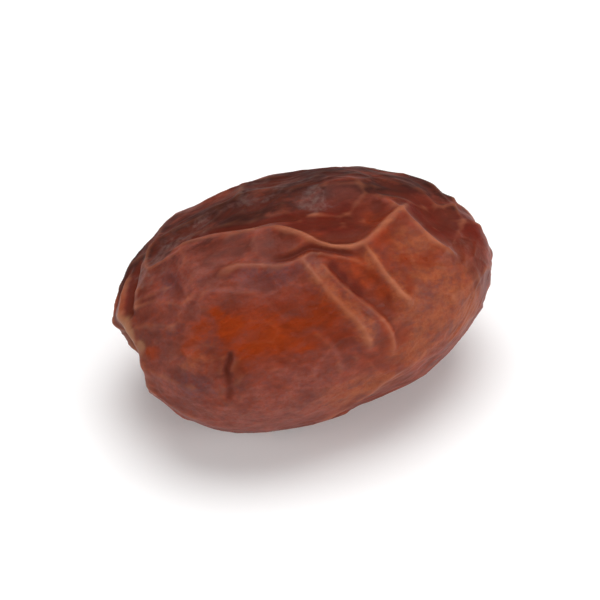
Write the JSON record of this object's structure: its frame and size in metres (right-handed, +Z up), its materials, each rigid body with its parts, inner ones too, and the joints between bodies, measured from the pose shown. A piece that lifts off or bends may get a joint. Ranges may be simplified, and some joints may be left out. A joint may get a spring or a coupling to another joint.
{
  "type": "khasui date fruit",
  "caption": "Whole ripe date fruit with loose, folded, satin red-brown skin and a stem scar at one end, lying on its side on a small flat spot.",
  "frame": {"origin": "on the surface that the date lies on, under the middle of its box", "axes": "+X from the stem end to the tip, +Z up, -Y the front, where the folds and the clear panel show"},
  "size_m": [0.0378, 0.0262, 0.0215],
  "materials": {
    "date_skin": "satin, slightly moist fruit skin"
  },
  "bodies": {
    "root": {"date": "date_skin"}
  },
  "joints": []
}
